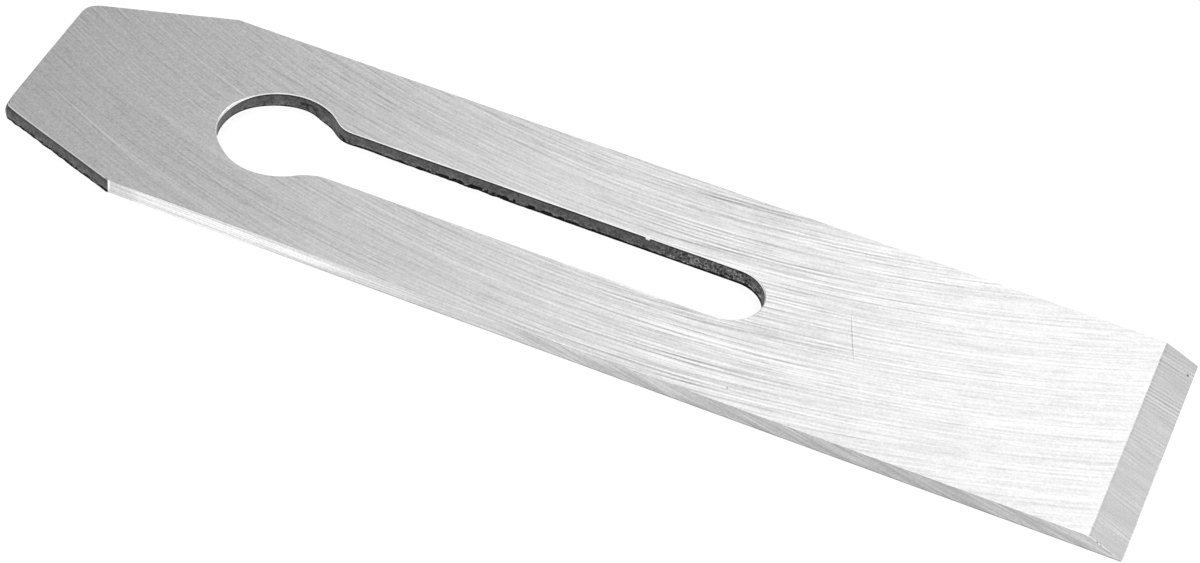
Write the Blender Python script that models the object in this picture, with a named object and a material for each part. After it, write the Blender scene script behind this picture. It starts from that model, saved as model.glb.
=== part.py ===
"""Plane iron: a flat steel blade with a clipped head, a keyhole slot and one ground bevel."""
import math

import bmesh
import bpy
from mathutils import Matrix, Vector

# Driving dimensions, in metres and degrees
LENGTH = 0.1834
WIDTH = 0.044
THICKNESS = 0.00255
BEVEL_ANGLE = 25.0
HEAD_WIDTH = 0.0278
HEAD_SKEW = 0.0013
FAR_CORNER_RADIUS = 0.0027
NEAR_CORNER_RADIUS = 0.0014
SHOULDER_FROM_HEAD = 0.0226
SHOULDER_SKEW = 0.0009
HOLE_FROM_HEAD = 0.0412
HOLE_DIAMETER = 0.0196
SLOT_LENGTH = 0.07425
SLOT_WIDTH = 0.0114
NECK_RADIUS = 0.004
ARRIS = 0.0002

# Construction values: the arcs' fineness and the stock that the grinding takes off
ARC_STEP = 5.0
SMOOTH_ANGLE = 30.0
WELD_DISTANCE = 0.000001
STOCK = 2 * THICKNESS

# Stations along the blade, head end at -X and cutting edge at +X
HEAD_X = -LENGTH / 2
EDGE_X = LENGTH / 2
HOLE_X = HEAD_X + HOLE_FROM_HEAD
SLOT_END_X = HOLE_X + SLOT_LENGTH


def start_empty():
    for item in list(bpy.data.objects):
        bpy.data.objects.remove(item, do_unlink=True)
    for group in list(bpy.data.collections):
        bpy.data.collections.remove(group)


def new_collection(name):
    group = bpy.data.collections.new(name)
    bpy.context.scene.collection.children.link(group)
    return group


def arc(centre, radius, start, sweep):
    """Points on a circle, from the start angle through the sweep, both in degrees."""
    steps = max(2, math.ceil(abs(sweep) / ARC_STEP))
    points = []
    for step in range(steps + 1):
        angle = math.radians(start + sweep * step / steps)
        points.append(centre + radius * Vector((math.cos(angle), math.sin(angle))))
    return points


def rounded_corner(before, corner, after, radius):
    """The arc that rounds a convex corner of a counter-clockwise outline."""
    inward = (corner - before).normalized()
    outward = (after - corner).normalized()
    turn = math.acos(inward.dot(outward))
    tangent = corner - inward * radius * math.tan(turn / 2)
    centre = tangent + radius * Vector((-inward.y, inward.x))
    spoke = tangent - centre
    start = math.degrees(math.atan2(spoke.y, spoke.x))
    return arc(centre, radius, start, math.degrees(turn))


def blade_outline():
    """The outer edge, counter-clockwise, with stock left in front of the cutting edge."""
    side = WIDTH / 2
    front_x = EDGE_X + STOCK
    shoulder_x = HEAD_X + SHOULDER_FROM_HEAD
    far_shoulder = Vector((shoulder_x, side))
    near_shoulder = Vector((shoulder_x + SHOULDER_SKEW, -side))

    # Both cuts flare alike, and the head end crosses them a little out of square
    half_skew = HEAD_SKEW / 2
    cut_run = SHOULDER_FROM_HEAD + SHOULDER_SKEW / 2 - half_skew
    drop = half_skew * (side - HEAD_WIDTH / 2) / cut_run
    far_head = Vector((HEAD_X, HEAD_WIDTH / 2 - drop))
    near_head = Vector((HEAD_X + HEAD_SKEW, -HEAD_WIDTH / 2 - drop))
    points = [Vector((front_x, -side)), Vector((front_x, side)), far_shoulder]
    points += rounded_corner(far_shoulder, far_head, near_head, FAR_CORNER_RADIUS)
    points += rounded_corner(far_head, near_head, near_shoulder, NEAR_CORNER_RADIUS)
    points.append(near_shoulder)
    return points


def keyhole_outline():
    """The round hole running into the slot, clockwise, with a rounded neck between them."""
    hole_radius = HOLE_DIAMETER / 2
    slot_radius = SLOT_WIDTH / 2
    hole_centre = Vector((HOLE_X, 0))
    neck_y = slot_radius + NECK_RADIUS
    reach = hole_radius + NECK_RADIUS
    neck_x = HOLE_X + math.sqrt(reach ** 2 - neck_y ** 2)
    opening = math.degrees(math.asin(neck_y / reach))
    points = arc(Vector((SLOT_END_X, 0)), slot_radius, 90, -180)
    points += arc(Vector((neck_x, -neck_y)), NECK_RADIUS, 90, 90 - opening)
    points += arc(hole_centre, hole_radius, -opening, 2 * opening - 360)[1:-1]
    points += arc(Vector((neck_x, neck_y)), NECK_RADIUS, 180 + opening, 90 - opening)
    return points


def add_spline(curve, points):
    spline = curve.splines.new("POLY")
    spline.points.add(len(points) - 1)
    for place, point in zip(spline.points, points):
        place.co = (point.x, point.y, 0, 1)
    spline.use_cyclic_u = True


def blank(name, group):
    """The blade before grinding: both outlines extruded to the thickness, arrises broken."""
    curve = bpy.data.curves.new(name + "_outline", "CURVE")
    curve.dimensions = "2D"
    curve.fill_mode = "BOTH"
    curve.bevel_depth = ARRIS
    curve.bevel_resolution = 0
    curve.offset = -ARRIS
    curve.extrude = THICKNESS / 2 - ARRIS
    add_spline(curve, blade_outline())
    add_spline(curve, keyhole_outline())
    source = bpy.data.objects.new(name + "_outline", curve)
    source.location.z = THICKNESS / 2
    group.objects.link(source)
    bpy.context.view_layer.update()

    mesh = bpy.data.meshes.new_from_object(
        source.evaluated_get(bpy.context.evaluated_depsgraph_get())
    )
    work = bmesh.new()
    work.from_mesh(mesh)
    bmesh.ops.remove_doubles(work, verts=work.verts, dist=WELD_DISTANCE)
    bmesh.ops.recalc_face_normals(work, faces=work.faces)
    work.to_mesh(mesh)
    work.free()
    mesh.name = name

    blade = bpy.data.objects.new(name, mesh)
    blade.matrix_world = source.matrix_world
    group.objects.link(blade)
    bpy.data.objects.remove(source, do_unlink=True)
    return blade


def grinding_cutter(group):
    """The space above the bevel plane, which rises backwards from the cutting edge."""
    slope = math.radians(BEVEL_ANGLE)
    depth = 4 * STOCK
    run = 2 * THICKNESS / math.sin(slope)
    bpy.ops.mesh.primitive_cube_add(size=1)
    cutter = bpy.context.object
    cutter.name = "bevel_cutter"
    for owner in list(cutter.users_collection):
        owner.objects.unlink(cutter)
    group.objects.link(cutter)
    lower_end = 2 * STOCK
    middle = Vector(((lower_end - run) / 2, 0, depth / 2))
    size = Matrix.Diagonal((run + lower_end, 2 * WIDTH, depth, 1))
    cutter.data.transform(Matrix.Translation(middle) @ size)
    cutter.location = (EDGE_X, 0, 0)
    cutter.rotation_euler = (0, slope, 0)
    cutter.hide_render = True
    cutter.display_type = "WIRE"
    return cutter


def steel():
    material = bpy.data.materials.new("ground_steel")
    material.use_nodes = True
    shader = material.node_tree.nodes["Principled BSDF"]
    shader.inputs["Base Color"].default_value = (0.62, 0.62, 0.61, 1)
    shader.inputs["Metallic"].default_value = 1.0
    shader.inputs["Roughness"].default_value = 0.32
    return material


def build():
    start_empty()
    parts = new_collection("plane_iron")
    cutters = new_collection("plane_iron_cutters")
    blade = blank("blade", parts)
    blade.data.materials.clear()
    blade.data.materials.append(steel())
    grind = blade.modifiers.new("ground bevel", "BOOLEAN")
    grind.operation = "DIFFERENCE"
    grind.solver = "EXACT"
    grind.object = grinding_cutter(cutters)
    blade.data.shade_smooth()
    blade.data.set_sharp_from_angle(angle=math.radians(SMOOTH_ANGLE))


build()
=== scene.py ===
import math

import bmesh
import bpy
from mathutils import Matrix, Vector, noise


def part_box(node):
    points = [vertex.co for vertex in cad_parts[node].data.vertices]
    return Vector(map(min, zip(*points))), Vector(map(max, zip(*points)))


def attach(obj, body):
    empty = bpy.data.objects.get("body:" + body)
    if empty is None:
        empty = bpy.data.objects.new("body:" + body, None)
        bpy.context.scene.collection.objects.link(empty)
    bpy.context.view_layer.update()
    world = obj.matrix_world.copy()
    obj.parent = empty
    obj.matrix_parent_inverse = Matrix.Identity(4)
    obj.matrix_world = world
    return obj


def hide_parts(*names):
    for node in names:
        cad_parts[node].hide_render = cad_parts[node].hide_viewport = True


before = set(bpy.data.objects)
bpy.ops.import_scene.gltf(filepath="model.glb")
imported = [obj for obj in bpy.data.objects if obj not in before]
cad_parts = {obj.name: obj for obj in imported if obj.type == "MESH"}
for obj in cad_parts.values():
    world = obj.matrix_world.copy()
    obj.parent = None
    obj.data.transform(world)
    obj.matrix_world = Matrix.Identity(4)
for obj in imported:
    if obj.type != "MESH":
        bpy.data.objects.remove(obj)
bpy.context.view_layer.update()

MM = 0.001

# The blade's own sizes, read from the frame, in millimetres
BLADE_LOW, BLADE_HIGH = [Vector(corner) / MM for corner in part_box("blade")]
THICKNESS = BLADE_HIGH.z - BLADE_LOW.z
EDGE_X = BLADE_HIGH.x
SIDE_Y = BLADE_HIGH.y

# Tolerances: in metres for welding, otherwise in millimetres
WELD_DISTANCE = 0.000001
TOLERANCE = 0.001
SHOULDER_MARGIN = 0.01
SIDE_MARGIN = 0.02
CORNER_TURN = math.radians(12)

# How a face's normal rises, for the lower chamfer and for an upright wall
CHAMFER_LEAST_Z = -0.9
CHAMFER_MOST_Z = -0.5
UPRIGHT_MOST_Z = 0.05

# Fineness of the mesh: steps along the outline in millimetres, and rows of each wall
COLUMN_STEP = 0.3
BEVEL_COLUMN_STEP = 0.16
BEVEL_ROWS = 26
ROWS = 15
ARRIS_ROWS = 2
RIM_ROWS = 3
SHEARED_ROWS = 4
FIRST_TORN = RIM_ROWS + 1 + SHEARED_ROWS
SMOOTHING_PASSES = 10

# Finish of the ground sides, the brow and the cutting edge: in millimetres, but the
# arrises' wavers and how far their middle bows out and down in shares of their width
EDGE_LAND = 0.02
GROUND_ARRIS = 0.08
GROUND_ARRIS_WAVER = 0.5
GROUND_FOOT = 0.03
CHIPPED_ARRIS = 0.3
CHIPPED_ARRIS_WAVER = 1.2
BOW_OUT = 0.3
BOW_DOWN = 0.35
BROW_WAVER = 0.05
SLOW_RIDGE = 0.006
QUICK_RIDGE = 0.004
EDGE_WEAR = 0.02
EDGE_CORNER_WEAR = 0.2
EDGE_CORNER_REACH = 0.5

# Finish of the punched walls: in millimetres, but the roll's waver in shares of the roll,
# what makes up the tear's depth in shares of it, and its height in shares of the wall
ROLL_OVER = 0.12
ROLL_WAVER = 0.35
CUT_ROLL = 0.06
SHEAR_WAVER = 0.012
CUT_FOOT = 0.1
CUT_FOOT_WAVER = 0.12
TEAR_DEPTH = 0.07
TEAR_HOLLOW = 0.7
TEAR_RAGGED = 0.8
TEAR_GRIT = 0.5
TEAR_SHARE = 0.36
SLOW_TEAR_WAVER = 0.07
QUICK_TEAR_WAVER = 0.09
TEAR_LEAST = 0.12
TEAR_MOST = 0.82
CRACK_RISE = 0.34

# Material slots on the blade
FACE, BEVEL, SIDE, SHEARED, TORN, RIM = range(6)


class Mark:
    """A small mark on a wall: its middle, how far it reaches and how deep it goes, in mm."""

    def __init__(self, x, y, reach, depth):
        self.place = Vector((x, y))
        self.reach = reach
        self.depth = depth

    def near(self, point):
        """1 at the mark's middle, falling to 0 away from it."""
        return math.exp(-((point - self.place).length / self.reach) ** 2)

    def at(self, point):
        """The mark's depth at a place on the outline."""
        return self.depth * self.near(point)


# Where the walls lean out of the outline or in from it, or their upper rim is rolled wider
FLAT_SPOT = Mark(-57.1, -7.3, 3.5, 0.28)
BURR = Mark(-43.6, 6.9, 2.6, 0.4)
BURR_SLOPE = 0.2
FOOT_LUMP = Mark(-47.0, 9.2, 2.4, 0.55)
FOOT_TAPER = Mark(-59.5, 4.0, 4.5, 0.35)
NECK_TAPER = Mark(-38.5, 5.7, 3.0, 0.16)
NEAR_NECK = Mark(-42.1, -6.0, 1.3, 0.22)
LUMPY = Mark(-18.0, 0.0, 14.0, 0.16)
NICK = Mark(8.7, 5.8, 0.32, 0.19)
WIDE_RIM = Mark(-60.2, 1.8, 3.2, 0.22)
RIM_BACK = Mark(-28.0, 5.7, 6.0, 0.16)
RIM_MIDDLE = Mark(-9.0, 5.7, 5.5, 0.32)
RIM_FRONT = Mark(3.0, 5.7, 4.0, 0.22)
RIM_END = Mark(23.0, 4.0, 6.0, 0.24)

# The crack in the hole's wall, where the slot's foot flares, and the slot's rough end,
# with how far its tear climbs and wavers in shares of the wall
CRACK = Vector((-48.6, 6.0))
CRACK_REACH = 1.3
BURST_X = -30.0
BURST_RUN = 25.0
BURST_DEPTH = 0.18
ROUGH_END_X = 11.0
ROUGH_END_RUN = 4.0
ROUGH_END_RISE = 0.12
ROUGH_END_WAVER = 0.3
CHIPS_X = 14.8

# The pit in the bevel, and the scratches on the face, as places, half sizes and directions
PIT = Vector((90.8, 18.87))
PIT_DEPTH = 0.09
PIT_SPREAD = 0.05
SCRATCH = (43.7, -0.25, 0.0)
SCRATCH_LIP = (43.86, -0.2, 0.0)
SCRATCH_LENGTH = 4.8
SCRATCH_SLANT = math.atan2(-7.9, 3.0)
TICK = (30.8, -18.7, 0.0)
TICK_SLANT = math.radians(110)
HEAD_SCRATCH = (-76.5, -11.65, 0.0)
HEAD_SCRATCH_LENGTH = 13.0
HEAD_SCRATCH_WIDTH = 0.16
HEAD_SCRATCH_SLANT = math.atan2(-10.4, 22.0)

# Grinding of the face: the far centres that its lines run round, their spacing, and where
# the wheel bit deepest and lightest
ARC_CENTRE = (6.0, 180.0, 0.0)
SECOND_CENTRE = (22.0, 158.0, 0.0)
THIRD_CENTRE = (-9.0, 206.0, 0.0)
ARC_RADIUS = 180.0
FEED_SPACING = 0.78
WIDE_FEED_SPACING = 1.06
BITE_X = 20.0
BITE_REACH = 19.0
LIGHT_CUT_X = 57.5
LIGHT_CUT_RUN = 12.5

# Grinding of the bevel: the slope and spacing of its lines, and three belts of them, each
# with its middle and reach
BEVEL_LINE_SLOPE = 0.186
BEVEL_LINE_SPACING = 0.77
NEAR_BELT = (1.6, 2.0)
MAIN_BELT = (10.8, 2.6)
FAR_BELT = (19.6, 2.4)

# Grinding of the sides: where the lines turn from level to slanted, and a dull belt
SLANT_X = -2.0
SLANT_RUN = 7.0
DULL_BELT_X = -19.0
DULL_BELT_REACH = 17.0

# Grey levels of the finishes
FACE_LEVEL = 0.812
BEVEL_LEVEL = 0.712
# The sides' two levels are a painted reflection, bright along the head half and dim along the
# rest
PAINTED_BRIGHT_SIDE_LEVEL = 0.84
PAINTED_DIM_SIDE_LEVEL = 0.51

# Studio, in metres and radians, with the lens in millimetres. The floor glows and has a
# grey where it is seen, and another grey for the light that it throws at the blade.
FLOOR_SIZE = 3.0
FLOOR_Z = -0.0002
FLOOR_GLOW = 0.8
FLOOR_GREY = 0.3
FLOOR_BOUNCE = 0.8
SENSOR_WIDTH = 36.0
FOCAL_LENGTH = 91.53
CAMERA_PLACE = (0.10338, -0.32530, 0.30973)
CAMERA_TURN = (0.82090, -0.10212, 0.39149)


# The outline, taken from the frame's walls

def outline_chains(node):
    """The lines where the blade's upright walls meet its lower chamfer, as 2D points in mm."""
    work = bmesh.new()
    work.from_mesh(node.data)
    work.transform(node.matrix_world)
    bmesh.ops.remove_doubles(work, verts=work.verts, dist=WELD_DISTANCE)
    work.normal_update()
    near = {}
    for edge in work.edges:
        if len(edge.link_faces) != 2:
            continue
        lower, upper = sorted(face.normal.z for face in edge.link_faces)
        is_chamfer = CHAMFER_LEAST_Z < lower < CHAMFER_MOST_Z
        is_upright = abs(upper) < UPRIGHT_MOST_Z
        if is_chamfer and is_upright:
            first, second = edge.verts
            near.setdefault(first, []).append(second)
            near.setdefault(second, []).append(first)
    chains = []
    unused = set(near)
    while unused:
        ends = [vert for vert in unused if len(near[vert]) == 1]
        start = min(ends or unused, key=lambda vert: (vert.co.x, vert.co.y))
        chain = [start]
        unused.discard(start)
        step = start
        while True:
            onward = [vert for vert in near[step] if vert in unused]
            if not onward:
                break
            step = onward[0]
            unused.discard(step)
            chain.append(step)
        chains.append([Vector((v.co.x, v.co.y)) / MM for v in chain])
    work.free()
    return sorted(chains, key=lambda chain: -max(point.x for point in chain))


def resampled(points, closed):
    """Even short steps along a polyline, its shallow turns smoothed and its corners kept."""
    count = len(points)
    fine = []
    fixed = []
    for index in range(count if closed else count - 1):
        here = points[index]
        there = points[(index + 1) % count]
        before = points[index - 1] if closed or index else here
        turn = 0.0
        if before != here:
            turn = abs((here - before).angle_signed(there - here))
        steps = max(1, round((there - here).length / COLUMN_STEP))
        for step in range(steps):
            fine.append(here.lerp(there, step / steps))
            fixed.append(step == 0 and (turn > CORNER_TURN or before == here))
    if not closed:
        fine.append(points[-1])
        fixed.append(True)
    for _ in range(SMOOTHING_PASSES):
        moved = list(fine)
        for index in range(len(fine)):
            if not fixed[index]:
                around = fine[index - 1] + fine[(index + 1) % len(fine)]
                moved[index] = fine[index] / 2 + around / 4
        fine = moved
    return fine


def signed_area(points):
    total = 0.0
    for index, point in enumerate(points):
        total += points[index - 1].cross(point)
    return total / 2


def outward_normals(points):
    """Unit normals away from the steel, for a loop that keeps the steel on its left."""
    normals = []
    for index in range(len(points)):
        run_in = (points[index] - points[index - 1]).normalized()
        run_out = (points[(index + 1) % len(points)] - points[index]).normalized()
        run = run_in + run_out
        run.normalize()
        reach = max(0.5, run.dot(run_out))
        normals.append(Vector((run.y, -run.x)) / reach)
    return normals


# Landmarks on the outline: the near head corner, and where the near cut meets the side
OUTER, KEYHOLE = outline_chains(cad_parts["blade"])
NEAR_CORNER = min(OUTER, key=lambda point: point.x + point.y)
NEAR_SHOULDER_X = min(point.x for point in OUTER if point.y < -SIDE_Y + SHOULDER_MARGIN)
HEAD_CUT_X = NEAR_SHOULDER_X + SIDE_MARGIN

# The near head corner is worn: it leans out by a bulge that ends below the rim
WORN_CORNER = Mark(NEAR_CORNER.x, NEAR_CORNER.y, 2.0, 0.03)
CORNER_BULGE = 1.6
CORNER_BULGE_TOP = 0.85


# Wall profiles: sideways offset and height of each row, from the upper rim down

def wave(position, rate, seed):
    """Smooth noise along the outline, on a line of its own for each seed."""
    return noise.noise(Vector((position * rate, seed * 7.31, seed * 3.17)))


def ramp(x, start, run):
    """0 up to a station along the blade, rising to 1 over the run after it."""
    return max(0.0, min(1.0, (x - start) / run))


def ground_profile(point, local_height, position):
    """A side ground flat, with a fine chamfer along both arrises, chipped beside the bevel."""
    share = local_height / THICKNESS
    chamfer = GROUND_ARRIS * share * (1 + GROUND_ARRIS_WAVER * wave(position, 0.7, 1))
    foot = GROUND_FOOT * share
    spread = chamfer
    if share < 1 and point.y < 0:
        chips = 1 + CHIPPED_ARRIS_WAVER * wave(position, 1.3, 41)
        spread += CHIPPED_ARRIS * math.sqrt(share) * chips
    profile = [(-spread, local_height)]
    profile.append((-spread * BOW_OUT, local_height - chamfer * BOW_DOWN))
    first = local_height - chamfer
    last_flat_row = ROWS - 2 * ARRIS_ROWS - 1
    for row in range(last_flat_row + 1):
        profile.append((0.0, first + (foot - first) * row / last_flat_row))
    profile += [(-foot * BOW_OUT, foot * BOW_DOWN), (-foot, 0.0)]
    return profile


def foot_reach(point, position):
    """How far the lower rim stands out of the wall."""
    if point.x < HEAD_CUT_X:
        return CUT_FOOT + CUT_FOOT_WAVER * wave(position, 1.1, 12)
    lumps = LUMPY.near(Vector((point.x, 0))) * wave(position, 0.9, 12)
    return LUMPY.depth * lumps + BURST_DEPTH * ramp(point.x, BURST_X, BURST_RUN)


def lean(point, share):
    """How far the whole wall stands out of the outline, at a share of its height."""
    flat = FLAT_SPOT.at(point)
    burr = BURR.near(point) * (BURR.depth - BURR_SLOPE * share)
    lump = FOOT_LUMP.at(point) * (1 - share)
    taper = FOOT_TAPER.at(point) * (1 - share)
    taper += NECK_TAPER.at(point) * (1 - share)
    bulge = CORNER_BULGE * share * (CORNER_BULGE_TOP - share)
    corner = WORN_CORNER.near(point) * (WORN_CORNER.depth + bulge)
    return flat + burr + lump - taper + corner - NEAR_NECK.at(point)


def sheared_profile(point, position):
    """A punched wall: rolled upper rim, smooth sheared band, torn band, ragged lower rim."""
    roll = ROLL_OVER * (1 + ROLL_WAVER * wave(position, 0.25, 2))
    roll += NICK.at(point)
    roll += WIDE_RIM.at(point)
    if point.x < HEAD_CUT_X:
        roll += CUT_ROLL
    spread = roll
    if point.x > HEAD_CUT_X and point.y > 0:
        spread += RIM_MIDDLE.at(point) + RIM_FRONT.at(point)
        spread += RIM_END.at(point) + RIM_BACK.at(point)
    reach = foot_reach(point, position)

    # The tear climbs at the crack, and runs up and down at the slot's end
    tear = TEAR_SHARE + SLOW_TEAR_WAVER * wave(position, 0.35, 3)
    tear += QUICK_TEAR_WAVER * wave(position, 1.3, 4)
    crack = 0.0
    if point.y > CRACK.y:
        crack = math.exp(-((point.x - CRACK.x) / CRACK_REACH) ** 2)
    rough_end = ramp(point.x, ROUGH_END_X, ROUGH_END_RUN)
    rough = ROUGH_END_RISE + ROUGH_END_WAVER * wave(position, 0.9, 5)
    tear += CRACK_RISE * crack + rough_end * rough
    tear = max(TEAR_LEAST, min(TEAR_MOST, tear))

    profile = []
    for step in range(RIM_ROWS + 1):
        angle = math.radians(90 * step / RIM_ROWS)
        inset = -spread + spread * math.sin(angle)
        profile.append((inset, THICKNESS - roll + roll * math.cos(angle)))
    top = THICKNESS - roll
    tear_z = tear * THICKNESS
    for step in range(1, SHEARED_ROWS + 1):
        height = top + (tear_z - top) * step / SHEARED_ROWS
        profile.append((SHEAR_WAVER * wave(position, 5.0, 6 + step), height))
    torn_rows = ROWS - FIRST_TORN
    for step in range(1, torn_rows + 1):
        share = step / torn_rows
        height = tear_z * (1 - share)
        ragged = noise.noise(Vector((position * 2.2, height * 2.4, 5.0)))
        grit = noise.noise(Vector((position * 6.0, height * 6.0, 9.0)))
        hollow = math.sin(math.pi * min(1.0, share * 1.15 + 0.1))
        depth = TEAR_HOLLOW * hollow + TEAR_RAGGED * ragged + TEAR_GRIT * grit
        depth = TEAR_DEPTH * depth
        profile.append((reach * share ** 2 - depth * (1 - share ** 3), height))
    return [(offset + lean(point, height / THICKNESS), height) for offset, height in profile]


# The mesh

def local_height_at(x, brow_x):
    """The blade's height at a station: full, then falling along the ground bevel."""
    if x <= brow_x:
        return THICKNESS
    share = (EDGE_X - x) / (EDGE_X - brow_x)
    return EDGE_LAND + (THICKNESS - EDGE_LAND) * max(0.0, share)


def is_ground(point, brow_x):
    """Whether a place on the outline is on a ground side or on the cutting edge."""
    return abs(point.y) > SIDE_Y - SIDE_MARGIN or point.x > brow_x


def edge_wear(y):
    """How far the cutting edge is worn back, most at its near corner."""
    wear = EDGE_WEAR * max(0.0, wave(y, 1.9, 21)) + EDGE_WEAR * max(0.0, wave(y, 6.0, 22))
    return wear + EDGE_CORNER_WEAR * math.exp(-((y + SIDE_Y) / EDGE_CORNER_REACH) ** 2)


def wall_grid(work, loop, brow_x):
    """The vertices of one closed wall, column by column, from its upper rim to its lower."""
    normals = outward_normals(loop)
    columns = []
    position = 0.0
    for index, point in enumerate(loop):
        position += (point - loop[index - 1]).length
        normal = normals[index]
        wear = 0.0
        if point.x > EDGE_X - TOLERANCE:
            normal = Vector((1, 0))
            wear = edge_wear(point.y)
        elif is_ground(point, brow_x):
            normal = Vector((0, math.copysign(1, point.y)))
        if is_ground(point, brow_x):
            height = local_height_at(point.x, brow_x)
            profile = ground_profile(point, height, position)
        else:
            profile = sheared_profile(point, position)
        column = []
        for offset, level in profile:
            place = point + normal * (offset - wear)
            place.x = max(BLADE_LOW.x, place.x)
            place.y = max(-SIDE_Y, min(SIDE_Y, place.y))
            column.append(work.verts.new((place.x * MM, place.y * MM, level * MM)))
        columns.append(column)
    return columns


def wall_faces(work, columns, loop, brow_x):
    """The faces between a wall's columns, each with the finish of its row."""
    for index, column in enumerate(columns):
        before = columns[index - 1]
        ground = is_ground((loop[index] + loop[index - 1]) / 2, brow_x)
        for row in range(ROWS - 1):
            face = work.faces.new((before[row], before[row + 1], column[row + 1], column[row]))
            face.smooth = True
            if ground:
                face.material_index = RIM if row < 1 else SIDE
            elif row < RIM_ROWS:
                face.material_index = RIM
            else:
                face.material_index = SHEARED if row < FIRST_TORN - 1 else TORN


def bevel_faces(work, near, far, front):
    """The ground bevel: a fine grid between the two side walls, the brow and the edge."""
    grid = []
    last_row = len(near) - 1
    last_column = len(front) - 1
    for row in range(last_row):
        line = [near[row]]
        for column in range(1, last_column):
            place = near[row].co.lerp(far[row].co, column / last_column)
            y = place.y / MM
            if row == 0:
                place.x += BROW_WAVER * MM * wave(y, 0.9, 31)
            else:
                ridge = SLOW_RIDGE * wave(y, 1.1, 32) + QUICK_RIDGE * wave(y, 3.3, 33)
                off = (place.x / MM - PIT.x) ** 2 + (y - PIT.y) ** 2
                place.z += (ridge - PIT_DEPTH * math.exp(-off / PIT_SPREAD)) * MM
            line.append(work.verts.new(place))
        line.append(far[row])
        grid.append(line)
    grid.append(front)
    for row in range(last_row):
        for column in range(last_column):
            face = work.faces.new((
                grid[row][column], grid[row + 1][column],
                grid[row + 1][column + 1], grid[row][column + 1],
            ))
            face.smooth = True
            face.material_index = BEVEL
    return grid[0]


def fill_cap(work, loops, upward):
    """A flat face across an outer loop with one hole in it."""
    edges = []
    for loop in loops:
        for index, vert in enumerate(loop):
            pair = (loop[index - 1], vert)
            edges.append(work.edges.get(pair) or work.edges.new(pair))
    made = bmesh.ops.triangle_fill(work, use_beauty=True, edges=edges, normal=(0, 0, upward))
    for item in made["geom"]:
        if isinstance(item, bmesh.types.BMFace):
            item.smooth = False
            item.material_index = FACE
            if item.normal.z * upward < 0:
                item.normal_flip()


def build_blade():
    """The whole blade as one closed mesh, laid on the frame's own outline."""
    outer = OUTER if OUTER[0].y > 0 else OUTER[::-1]
    keyhole = KEYHOLE if signed_area(KEYHOLE) < 0 else KEYHOLE[::-1]
    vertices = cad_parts["blade"].data.vertices
    brow_x = max(v.co.x for v in vertices if v.co.z / MM > THICKNESS - TOLERANCE) / MM

    # Anticlockwise: near bevel side, cutting edge, far bevel side, then round the head
    run = EDGE_X - brow_x
    rows = [brow_x + run * row / BEVEL_ROWS for row in range(BEVEL_ROWS + 1)]
    near_side = [Vector((x, -SIDE_Y)) for x in rows]
    far_side = [Vector((x, SIDE_Y)) for x in reversed(rows)]
    front_steps = round(2 * SIDE_Y / BEVEL_COLUMN_STEP)
    front = []
    for step in range(1, front_steps):
        front.append(Vector((EDGE_X, SIDE_Y * (2 * step / front_steps - 1))))
    rest = resampled([far_side[-1]] + outer[1:-1] + [near_side[0]], closed=False)[1:-1]
    outer_loop = near_side + front + far_side + rest
    keyhole_loop = resampled(keyhole, closed=True)

    work = bmesh.new()
    outer_columns = wall_grid(work, outer_loop, brow_x)
    keyhole_columns = wall_grid(work, keyhole_loop, brow_x)
    wall_faces(work, outer_columns, outer_loop, brow_x)
    wall_faces(work, keyhole_columns, keyhole_loop, brow_x)

    upper = [column[0] for column in outer_columns]
    near_top = upper[:len(rows)]
    front_top = upper[len(rows) - 1:len(rows) + len(front) + 1]
    far_start = len(rows) + len(front)
    far_top = list(reversed(upper[far_start:far_start + len(rows)]))
    brow = bevel_faces(work, near_top, far_top, front_top)

    face_loop = brow + upper[far_start + len(rows):]
    hole_top = [column[0] for column in keyhole_columns]
    fill_cap(work, (face_loop, hole_top), 1)
    outer_foot = [column[-1] for column in outer_columns]
    hole_foot = [column[-1] for column in keyhole_columns]
    fill_cap(work, (outer_foot, hole_foot), -1)

    bmesh.ops.recalc_face_normals(work, faces=work.faces)
    mesh = bpy.data.meshes.new("ground_blade")
    work.to_mesh(mesh)
    work.free()
    blade = bpy.data.objects.new("ground_blade", mesh)
    bpy.context.scene.collection.objects.link(blade)
    return blade


# Shader graphs

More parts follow.
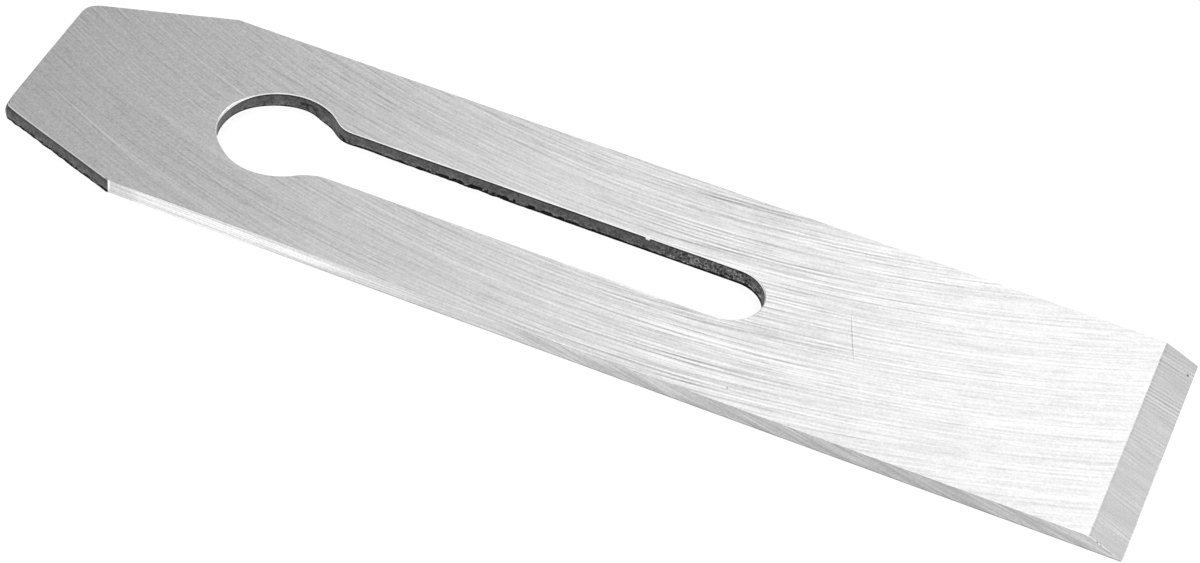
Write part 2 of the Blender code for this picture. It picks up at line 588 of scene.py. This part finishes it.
class Graph:
    """Short names for building one node tree."""

    def __init__(self, tree):
        self.tree = tree

    def node(self, kind, **settings):
        made = self.tree.nodes.new(kind)
        for name, value in settings.items():
            setattr(made, name, value)
        return made

    def put(self, socket, value):
        if isinstance(value, bpy.types.NodeSocket):
            self.tree.links.new(value, socket)
        else:
            socket.default_value = value

    def math(self, operation, first, second=0.0, clamp=False):
        made = self.node("ShaderNodeMath", operation=operation, use_clamp=clamp)
        self.put(made.inputs[0], first)
        self.put(made.inputs[1], second)
        return made.outputs[0]

    def times(self, first, second):
        return self.math("MULTIPLY", first, second)

    def plus(self, first, second, share=None):
        """The sum of both, or of the first and a share of the second."""
        if share is not None:
            second = self.times(second, share)
        return self.math("ADD", first, second)

    def minus(self, first, second, share=None):
        """The first less the second, or less a share of it."""
        if share is not None:
            second = self.times(second, share)
        return self.math("SUBTRACT", first, second)

    def swing(self, value, depth):
        """A noise's level as a change up and down."""
        return self.times(self.minus(value, 0.5), depth)

    def dimmed(self, level, where, share):
        """A level that loses a share of itself where the second number is 1."""
        return self.times(level, self.minus(1.0, where, share))

    def squares(self, first, second):
        return self.plus(self.times(first, first), self.times(second, second))

    def vector(self, operation, first, second=(0, 0, 0)):
        made = self.node("ShaderNodeVectorMath", operation=operation)
        self.put(made.inputs[0], first)
        self.put(made.inputs[1], second)
        return made.outputs[0]

    def scaled(self, vector, factors):
        return self.vector("MULTIPLY", vector, factors)

    def split(self, vector):
        made = self.node("ShaderNodeSeparateXYZ")
        self.put(made.inputs[0], vector)
        return made.outputs

    def join(self, x, y, z):
        made = self.node("ShaderNodeCombineXYZ")
        for socket, value in zip(made.inputs, (x, y, z)):
            self.put(socket, value)
        return made.outputs[0]

    def noise(self, vector, scale, detail=2.0, roughness=0.5):
        made = self.node("ShaderNodeTexNoise")
        self.put(made.inputs["Vector"], vector)
        made.inputs["Scale"].default_value = scale
        made.inputs["Detail"].default_value = detail
        made.inputs["Roughness"].default_value = roughness
        return made.outputs[0]

    def span(self, value, low, high, to_low=0.0, to_high=1.0, smooth=False):
        """One range of numbers carried over to another, and held at its ends."""
        made = self.node("ShaderNodeMapRange")
        if smooth:
            made.interpolation_type = "SMOOTHSTEP"
        for socket, number in zip(made.inputs, (value, low, high, to_low, to_high)):
            self.put(socket, number)
        return made.outputs[0]

    def blend(self, factor, first, second):
        """A grey level between two, as one number."""
        return self.plus(first, self.minus(second, first), factor)

    def bell(self, value, middle, reach):
        """1 at the middle, falling to 0 on both sides."""
        off = self.math("DIVIDE", self.minus(value, middle), reach)
        return self.math("EXPONENT", self.times(self.times(off, off), -1.0))

    def tone(self, level):
        """A grey level as a colour."""
        made = self.node("ShaderNodeCombineColor")
        for socket in made.inputs:
            self.put(socket, level)
        return made.outputs[0]

    def bump(self, height, distance):
        made = self.node("ShaderNodeBump")
        made.inputs["Strength"].default_value = 1.0
        made.inputs["Distance"].default_value = distance
        self.put(made.inputs["Height"], height)
        return made.outputs[0]

    def millimetres(self):
        place = self.node("ShaderNodeTexCoord").outputs["Object"]
        return self.scaled(place, (1000, 1000, 1000))


def new_material(name):
    material = bpy.data.materials.new(name)
    material.use_nodes = True
    graph = Graph(material.node_tree)
    shader = material.node_tree.nodes["Principled BSDF"]
    return material, graph, shader


def finish_shader(graph, shader, level, roughness, metallic=1.0):
    graph.put(shader.inputs["Base Color"], graph.tone(level))
    graph.put(shader.inputs["Roughness"], roughness)
    shader.inputs["Metallic"].default_value = metallic


def arc_place(graph, place, centre):
    """A point's distance from a far centre, and how far round it lies, both in mm."""
    x, y, _ = graph.split(graph.vector("SUBTRACT", place, centre))
    radius = graph.math("SQRT", graph.squares(x, y))
    angle = graph.math("ARCTAN2", x, graph.times(y, -1.0))
    return radius, graph.times(angle, ARC_RADIUS)


def arc_lines(graph, place, centre, across, along, seed, detail=0.0):
    """Streaks that follow circles round a far centre, as a grinding wheel leaves them."""
    radius, run = arc_place(graph, place, centre)
    flow = graph.join(graph.times(radius, across), graph.times(run, along), seed)
    return graph.noise(flow, 1.0, detail, 0.55)


def feed_lines(graph, place, centre, spacing, seed):
    """Evenly spaced lines, -1 to 1, that drift apart and fade in and out."""
    radius, run = arc_place(graph, place, centre)
    slow = graph.join(graph.times(radius, 0.4), graph.times(run, 0.012), seed)
    drift = graph.times(graph.noise(slow, 1.0, 1.0), 7.0)
    phase = graph.plus(graph.times(radius, math.tau / spacing), drift)
    faint = graph.join(graph.times(radius, 0.9), graph.times(run, 0.03), seed + 9.0)
    strength = graph.span(graph.noise(faint, 1.0, 1.0), 0.38, 0.66)
    return graph.times(graph.math("SINE", phase), strength)


def spot(graph, place, centre, reach, length=None, slant=0.0):
    """1 in a small round or long mark on the surface, 0 outside it."""
    x, y, _ = graph.split(graph.vector("SUBTRACT", place, centre))
    cos, sin = math.cos(slant), math.sin(slant)
    run = graph.plus(graph.times(x, cos), graph.times(y, sin))
    side = graph.minus(graph.times(y, cos), graph.times(x, sin))
    run = graph.math("DIVIDE", run, length or reach)
    side = graph.math("DIVIDE", side, reach)
    return graph.span(graph.squares(run, side), 0.5, 1.4, 1.0, 0.0, smooth=True)


# The finishes

def face_marks(graph, place):
    """The scratches and the tick on the face, as a change of its grey level."""
    scratch = spot(graph, place, SCRATCH, 0.1, SCRATCH_LENGTH, SCRATCH_SLANT)
    lip = spot(graph, place, SCRATCH_LIP, 0.08, SCRATCH_LENGTH, SCRATCH_SLANT)
    tick = spot(graph, place, TICK, 0.16, 0.3, TICK_SLANT)
    marks = graph.minus(graph.times(lip, 0.12), scratch, 0.27)
    marks = graph.minus(marks, tick, 0.35)
    size = (HEAD_SCRATCH_WIDTH, HEAD_SCRATCH_LENGTH, HEAD_SCRATCH_SLANT)
    furrow = spot(graph, place, HEAD_SCRATCH, *size)
    beside = graph.vector("ADD", place, (0.14, 0.3, 0.0))
    trough = spot(graph, beside, HEAD_SCRATCH, *size)
    return graph.plus(marks, graph.minus(furrow, trough), 0.1)


def ground_face_material():
    material, graph, shader = new_material("ground_face")
    place = graph.millimetres()
    fine = arc_lines(graph, place, ARC_CENTRE, 2.6, 0.04, 1.0, 1.0)
    stray = arc_lines(graph, place, SECOND_CENTRE, 1.8, 0.14, 3.0)
    dark = arc_lines(graph, place, ARC_CENTRE, 2.7, 0.025, 4.0)
    long_dark = arc_lines(graph, place, THIRD_CENTRE, 2.1, 0.018, 5.0)
    light = arc_lines(graph, place, ARC_CENTRE, 2.7, 0.025, 6.0)
    grain = graph.noise(place, 2.6, 1.0)
    dashes = arc_lines(graph, place, ARC_CENTRE, 2.2, 0.2, 12.0)
    feed = feed_lines(graph, place, ARC_CENTRE, FEED_SPACING, 7.0)
    wide_feed = feed_lines(graph, place, ARC_CENTRE, WIDE_FEED_SPACING, 8.0)

    soft = graph.plus(graph.times(fine, 0.6), stray, 0.4)
    cuts = graph.plus(graph.span(dark, 0.57, 0.68), graph.span(long_dark, 0.6, 0.7))
    swing = graph.minus(graph.swing(soft, 0.3), cuts, 0.08)
    swing = graph.plus(swing, graph.span(light, 0.57, 0.68), 0.07)

    # The wheel bit deepest across the middle of the blade, and lightest towards the edge
    x = graph.split(place)[0]
    even_cut = graph.span(x, -70.0, -35.0, 0.4, 1.0, smooth=True)
    both = graph.plus(graph.times(feed, 0.09), wide_feed, 0.05)
    swing = graph.plus(swing, both, even_cut)
    bite = graph.bell(x, BITE_X, BITE_REACH)
    light_from, light_to = LIGHT_CUT_X - LIGHT_CUT_RUN, LIGHT_CUT_X + LIGHT_CUT_RUN
    rest = graph.span(x, light_from, light_to, 1.0, 0.62, smooth=True)
    head = graph.span(x, -66.0, -26.0, 1.0, 0.0, smooth=True)
    rest = graph.minus(rest, head, 0.15)
    swing = graph.times(swing, graph.plus(rest, bite, 0.9))
    swing = graph.minus(swing, graph.span(dashes, 0.6, 0.72), 0.06)
    swing = graph.plus(swing, graph.swing(grain, graph.plus(0.28, head, 0.08)))

    cloud = graph.span(graph.noise(place, 0.06, 2.0), 0.3, 0.7, -0.015, 0.015)
    # Painted shade: the head's grey is a little darker, adding to the darker left of the light
    even = graph.minus(FACE_LEVEL, head, 0.025)
    marks = face_marks(graph, place)
    level = graph.plus(graph.plus(even, swing), graph.plus(marks, cloud))
    finish_shader(graph, shader, level, graph.span(soft, 0.35, 0.65, 0.36, 0.28))
    relief = graph.plus(soft, swing, 1.5)
    graph.put(shader.inputs["Normal"], graph.bump(relief, 0.00002))
    flat = graph.scaled(graph.vector("SUBTRACT", place, ARC_CENTRE), (1, 1, 0))
    graph.put(shader.inputs["Tangent"], graph.vector("NORMALIZE", flat))
    shader.inputs["Anisotropic"].default_value = 0.6
    return material


def ground_bevel_material():
    material, graph, shader = new_material("ground_bevel")
    place = graph.millimetres()
    x, y, z = graph.split(place)
    ridges = graph.noise(graph.scaled(place, (0.16, 3.4, 0.16)), 1.0, 1.0, 0.6)
    bands = graph.noise(graph.scaled(place, (0.05, 0.3, 0.05)), 1.0, 1.0)
    grain = graph.noise(place, 5.0, 0.0)
    swing = graph.swing(ridges, graph.span(bands, 0.35, 0.65, 0.2, 0.55))

    # Three belts of evenly spaced lines, a little off the blade's own direction
    lane = graph.minus(y, x, BEVEL_LINE_SLOPE)
    lane = graph.plus(lane, EDGE_X * BEVEL_LINE_SLOPE)
    drift = graph.noise(graph.join(graph.times(lane, 0.5), 0.0, 11.0), 1.0, 1.0)
    phase = graph.plus(graph.times(lane, math.tau / BEVEL_LINE_SPACING), drift, 6.0)
    strong = graph.times(graph.bell(lane, *MAIN_BELT), 0.13)
    strong = graph.plus(strong, graph.bell(lane, *NEAR_BELT), 0.06)
    strong = graph.plus(strong, graph.bell(lane, *FAR_BELT), 0.08)
    swing = graph.plus(swing, graph.math("SINE", phase), strong)
    brow = graph.span(z, THICKNESS - 0.22, THICKNESS - 0.04, 0.0, 0.09)
    swing = graph.minus(swing, brow, graph.span(y, -5.0, 18.0, 1.0, 1.5))
    swing = graph.plus(swing, graph.swing(grain, 0.22))
    swing = graph.plus(swing, graph.swing(bands, 0.08))
    darker = graph.span(y, 3.0, 20.0, 0.0, 0.075)
    level = graph.minus(graph.plus(BEVEL_LEVEL, swing), darker)
    level = graph.dimmed(level, spot(graph, place, (PIT.x, PIT.y, 0.0), 0.2), 0.8)
    finish_shader(graph, shader, level, graph.span(bands, 0.3, 0.7, 0.3, 0.38))
    graph.put(shader.inputs["Normal"], graph.bump(swing, 0.00004))
    return material


def side_streaks(graph, place, slope, across, along, seed):
    """Streaks on the upright sides that fall by the slope, mm for mm, towards the edge."""
    x, y, z = graph.split(place)
    lane = graph.times(graph.plus(z, x, slope), across)
    flow = graph.join(lane, graph.times(x, along), graph.plus(graph.times(y, 0.3), seed))
    return graph.noise(flow, 1.0, 1.0, 0.6)


def ground_side_material():
    """Painted reflection: bright along the head half, darker along the rest, which is rougher
    and ground at a slant.
    """
    material, graph, shader = new_material("ground_side")
    place = graph.millimetres()
    x, y, z = graph.split(place)
    level_lines = side_streaks(graph, place, 0.015, 4.6, 0.05, 1.0)
    level_bands = side_streaks(graph, place, 0.02, 1.6, 0.04, 2.0)
    slant_lines = side_streaks(graph, place, 0.24, 3.4, 0.12, 3.0)
    slant_bands = side_streaks(graph, place, 0.2, 1.1, 0.1, 4.0)
    grain = graph.noise(place, 2.6, 1.0)
    turned = graph.span(x, SLANT_X - SLANT_RUN, SLANT_X + SLANT_RUN, smooth=True)
    lines = graph.blend(turned, level_lines, slant_lines)
    bands = graph.blend(turned, level_bands, slant_bands)
    streaks = graph.plus(graph.times(lines, 0.6), bands, 0.4)
    # Painted reflection: the grey falls from bright along the head half to dim along the rest,
    # which is also rougher
    wander = graph.span(graph.noise(place, 0.09, 1.0), 0.3, 0.7, -9.0, 9.0)
    dimming_and_roughening = graph.span(graph.plus(x, wander), -44.0, 32.0)
    level = graph.blend(dimming_and_roughening, PAINTED_BRIGHT_SIDE_LEVEL, PAINTED_DIM_SIDE_LEVEL)
    level = graph.dimmed(level, graph.bell(x, DULL_BELT_X, DULL_BELT_REACH), 0.09)
    level = graph.times(level, graph.span(x, 68.0, 80.0, 1.0, 1.1))
    swing = graph.span(streaks, 0.36, 0.64, 0.78, 1.2)
    swing = graph.times(swing, graph.span(grain, 0.3, 0.7, 0.92, 1.08))
    level = graph.times(level, swing)

    # A darker patch at the shoulder, a painted highlight on its arris, and a dark line along
    # the foot
    shoulder = graph.minus(x, NEAR_SHOULDER_X)
    level = graph.times(level, graph.span(shoulder, 3.0, 6.0, 0.82, 1.0, smooth=True))
    arris_highlight = graph.span(shoulder, 0.3, 0.5, 1.0, 0.0)
    arris_highlight = graph.times(arris_highlight, graph.span(z, 0.3, 1.1, 0.6, 1.0))
    level = graph.math("MAXIMUM", level, arris_highlight)
    foot = graph.span(z, 0.1, 0.26, 0.62, 1.0, smooth=True)
    foot = graph.blend(graph.span(x, -45.0, -25.0), 1.0, foot)
    level = graph.times(level, foot)
    finish_shader(graph, shader, level, graph.blend(dimming_and_roughening, 0.26, 0.42))
    graph.put(shader.inputs["Normal"], graph.bump(streaks, 0.00001))
    return material


def crack_lines(graph, place, grit):
    """1 in the crack, which runs along the hole's wall and down to its foot, and in the
    small loops at the burr."""
    x, y, z = graph.split(place)
    bend_x = CRACK.x - 1.1
    level_part = graph.span(x, CRACK.x - 3.0, bend_x, 1.15, 1.4)
    falling_part = graph.span(x, bend_x, CRACK.x + 0.3, 1.4, 0.1)
    course = graph.math("MINIMUM", level_part, falling_part)
    course = graph.plus(course, graph.swing(grit, 0.5))
    off = graph.math("ABSOLUTE", graph.minus(z, course))
    crack = graph.span(off, 0.14, 0.25, 1.0, 0.0)
    crack = graph.times(crack, graph.span(x, CRACK.x - 3.2, CRACK.x - 2.9))
    crack = graph.times(crack, graph.span(x, CRACK.x + 0.2, CRACK.x + 0.5, 1.0, 0.0))
    crack = graph.times(crack, graph.span(y, CRACK.y, CRACK.y + 0.5))
    loops = graph.math("ABSOLUTE", graph.minus(graph.noise(place, 1.5, 1.0), 0.5))
    loops = graph.span(loops, 0.05, 0.1, 1.0, 0.0)
    loops = graph.times(loops, graph.bell(x, BURR.place.x + 1.1, 1.2))
    loops = graph.times(loops, graph.span(z, 0.9, 1.2, 1.3, 0.0))
    loops = graph.times(loops, graph.span(y, 4.0, 5.0))
    return graph.math("MAXIMUM", crack, loops)


def wall_material(name, dark, light, rough, relief):
    """A punched wall, pitted at the slot's end, with painted shade: black along its lower rim,
    dark under its upper rim.
    """
    material, graph, shader = new_material(name)
    place = graph.millimetres()
    x, y, z = graph.split(place)
    scores = graph.noise(graph.scaled(place, (1.1, 1.1, 0.9)), 1.0, 2.0, 0.6)
    grit = graph.noise(place, 2.4, 2.0, 0.6)
    patches = graph.noise(place, 0.35, 2.0)
    mixed = graph.plus(graph.times(scores, 0.3), grit, 0.45)
    mixed = graph.plus(mixed, patches, 0.25)
    level = graph.span(mixed, 0.38, 0.62, dark, light)

    # Pits, bright grains and chips where the punch broke through at the slot's end
    rough_end = graph.span(x, ROUGH_END_X - 2.0, ROUGH_END_X + 2.0)
    pits = graph.span(graph.noise(place, 1.9, 2.0), 0.53, 0.59, 1.0, 0.22)
    grains = graph.span(graph.noise(place, 2.7, 1.0), 0.55, 0.64, 1.0, 2.4)
    broken = graph.blend(rough_end, 1.0, graph.times(pits, grains))
    level = graph.times(level, broken)
    chips = graph.times(graph.bell(x, CHIPS_X, 0.9), graph.span(z, 0.35, 0.5, 1.0, 0.0))
    chips = graph.times(chips, graph.span(graph.noise(place, 2.2), 0.5, 0.58, 0.0, 0.7))
    level = graph.plus(level, chips)

    # Painted shade: the lower rim is black, with lumps on the head's cuts and along the slot's
    # middle
    head = graph.span(x, HEAD_CUT_X, HEAD_CUT_X + 2.0, 1.0, 0.0)
    middle = graph.bell(x, LUMPY.place.x, LUMPY.reach)
    lumpy = graph.math("MAXIMUM", graph.times(head, 0.4), middle)
    tall = graph.plus(0.1, lumpy, 0.42)
    lumps = graph.noise(graph.scaled(place, (0.8, 0.8, 0.5)), 1.0, 3.0, 0.65)
    least = graph.span(x, BURR.place.x, BURR.place.x + 3.0, 0.18, 0.27)
    rim = graph.plus(least, graph.span(lumps, 0.43, 0.56), tall)
    above = graph.math("DIVIDE", z, rim)
    foot_shade_and_glint = graph.span(above, 0.85, 1.1, 0.03, 1.0)
    # Painted highlight: a light band just above the black lower rim
    foot_shade_and_glint = graph.times(foot_shade_and_glint, graph.plus(1.0, graph.bell(above, 1.4, 0.25), 0.35))
    # Painted shade: a dark band under the upper rim, taller and a little paler on the head's
    # cuts
    under_rim = graph.span(z, THICKNESS - 0.52, THICKNESS - 0.34, 1.0, 0.38)
    under_cut = graph.span(z, THICKNESS - 1.0, THICKNESS - 0.3, 1.0, 0.46)
    shade = graph.blend(head, under_rim, under_cut)
    level = graph.times(level, graph.times(foot_shade_and_glint, shade))

    level = graph.dimmed(level, crack_lines(graph, place, grit), 0.9)
    nick = spot(graph, place, (NICK.place.x, NICK.place.y, 0.0), 0.35)
    nick = graph.times(nick, graph.span(z, THICKNESS - 0.55, THICKNESS - 0.4))
    level = graph.math("MAXIMUM", level, nick)
    roughness = graph.span(patches, 0.3, 0.7, rough, rough + 0.12)
    finish_shader(graph, shader, level, roughness, metallic=0.75)
    graph.put(shader.inputs["Normal"], graph.bump(mixed, relief))
    return material


def rim_material():
    """Broken arrises: bright round the keyhole, duller on the head's cuts and the long
    sides, and chipped beside the bevel."""
    material, graph, shader = new_material("broken_rim")
    place = graph.millimetres()
    x, y, z = graph.split(place)
    specks = graph.span(graph.noise(place, 1.3, 3.0), 0.3, 0.7, 0.94, 1.04)
    level = graph.span(x, HEAD_CUT_X, HEAD_CUT_X + 2.0, 0.92, 0.97)
    outside = graph.span(graph.math("ABSOLUTE", y), SIDE_Y - 0.3, SIDE_Y - 0.2, 1.0, 0.5)
    level = graph.times(level, outside)
    hole = graph.span(x, BURR.place.x - 3.0, BURR.place.x + 1.0, 1.0, 0.0)
    near_half = graph.times(hole, graph.span(y, -2.0, 0.0, 0.35, 0.0))
    level = graph.times(level, graph.minus(1.0, near_half))
    chipped = graph.span(graph.noise(place, 2.6, 1.0), 0.4, 0.46, 0.3, 1.0)
    level = graph.blend(graph.span(x, EDGE_X - 6.0, EDGE_X - 5.5), level, chipped)
    level = graph.math("MULTIPLY", level, specks, clamp=True)
    finish_shader(graph, shader, level, graph.span(specks, 0.94, 1.04, 0.22, 0.34))
    return material


# Studio: white floor, soft world that is darker to the left behind, camera

def seen_directly(graph):
    """1 for camera, mirror and see-through rays, 0 for the light that reaches the object."""
    rays = graph.node("ShaderNodeLightPath").outputs
    mirrored = graph.math("MAXIMUM", rays["Is Camera Ray"], rays["Is Glossy Ray"])
    return graph.math("MAXIMUM", mirrored, rays["Is Transmission Ray"])


def diffuse(graph, grey):
    made = graph.node("ShaderNodeBsdfDiffuse")
    made.inputs["Color"].default_value = (grey, grey, grey, 1)
    return made.outputs[0]


def add_floor():
    """A plain floor that is white where it is seen and keeps the blade's shadow."""
    bpy.ops.mesh.primitive_plane_add(size=FLOOR_SIZE, location=(0, 0, FLOOR_Z))
    floor = bpy.context.object
    floor.name = "floor"
    material = bpy.data.materials.new("pale_floor")
    material.use_nodes = True
    graph = Graph(material.node_tree)
    material.node_tree.nodes.clear()
    paper = graph.node("ShaderNodeEmission")
    paper.inputs["Strength"].default_value = FLOOR_GLOW
    both = graph.node("ShaderNodeAddShader")
    graph.put(both.inputs[0], diffuse(graph, FLOOR_GREY))
    graph.put(both.inputs[1], paper.outputs[0])
    choice = graph.node("ShaderNodeMixShader")
    graph.put(choice.inputs[0], seen_directly(graph))
    graph.put(choice.inputs[1], diffuse(graph, FLOOR_BOUNCE))
    graph.put(choice.inputs[2], both.outputs[0])
    out = graph.node("ShaderNodeOutputMaterial")
    graph.put(out.inputs["Surface"], choice.outputs[0])
    floor.data.materials.append(material)


def set_world():
    """White all round, with one panel behind that is dim on the left and bright in front of
    the edge, and white where the camera sees it."""
    world = bpy.data.worlds.new("studio")
    bpy.context.scene.world = world
    world.use_nodes = True
    world.node_tree.nodes.clear()
    graph = Graph(world.node_tree)
    toward = graph.node("ShaderNodeTexCoord").outputs["Generated"]
    x, y, z = graph.split(toward)
    rise = graph.span(x, -0.42, -0.06, 0.33, 1.32)
    fall = graph.span(x, 0.2, 0.52, 0.0, 0.52, smooth=True)
    behind = graph.span(y, 0.1, 0.45, smooth=True)
    level = graph.blend(behind, 1.0, graph.minus(rise, fall))
    level = graph.times(level, graph.span(z, -0.05, 0.12, 0.75, 1.0, smooth=True))
    rays = graph.node("ShaderNodeLightPath").outputs
    level = graph.blend(rays["Is Camera Ray"], level, 1.0)
    sky = graph.node("ShaderNodeBackground")
    graph.put(sky.inputs["Color"], graph.tone(level))
    out = graph.node("ShaderNodeOutputWorld")
    graph.put(out.inputs["Surface"], sky.outputs[0])


def add_camera():
    lens = bpy.data.cameras.new("camera")
    lens.sensor_width = SENSOR_WIDTH
    lens.lens = FOCAL_LENGTH
    camera = bpy.data.objects.new("camera", lens)
    camera.location = CAMERA_PLACE
    camera.rotation_euler = CAMERA_TURN
    bpy.context.scene.collection.objects.link(camera)
    bpy.context.scene.camera = camera


blade = build_blade()
for finish in (
    ground_face_material(),
    ground_bevel_material(),
    ground_side_material(),
    wall_material("sheared_wall", dark=0.05, light=0.15, rough=0.42, relief=0.00004),
    wall_material("torn_wall", dark=0.04, light=0.22, rough=0.55, relief=0.00008),
    rim_material(),
):
    blade.data.materials.append(finish)
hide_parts("blade")
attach(blade, "root")
add_floor()
set_world()
add_camera()
bpy.context.scene.view_settings.view_transform = "Standard"
bpy.context.view_layer.update()
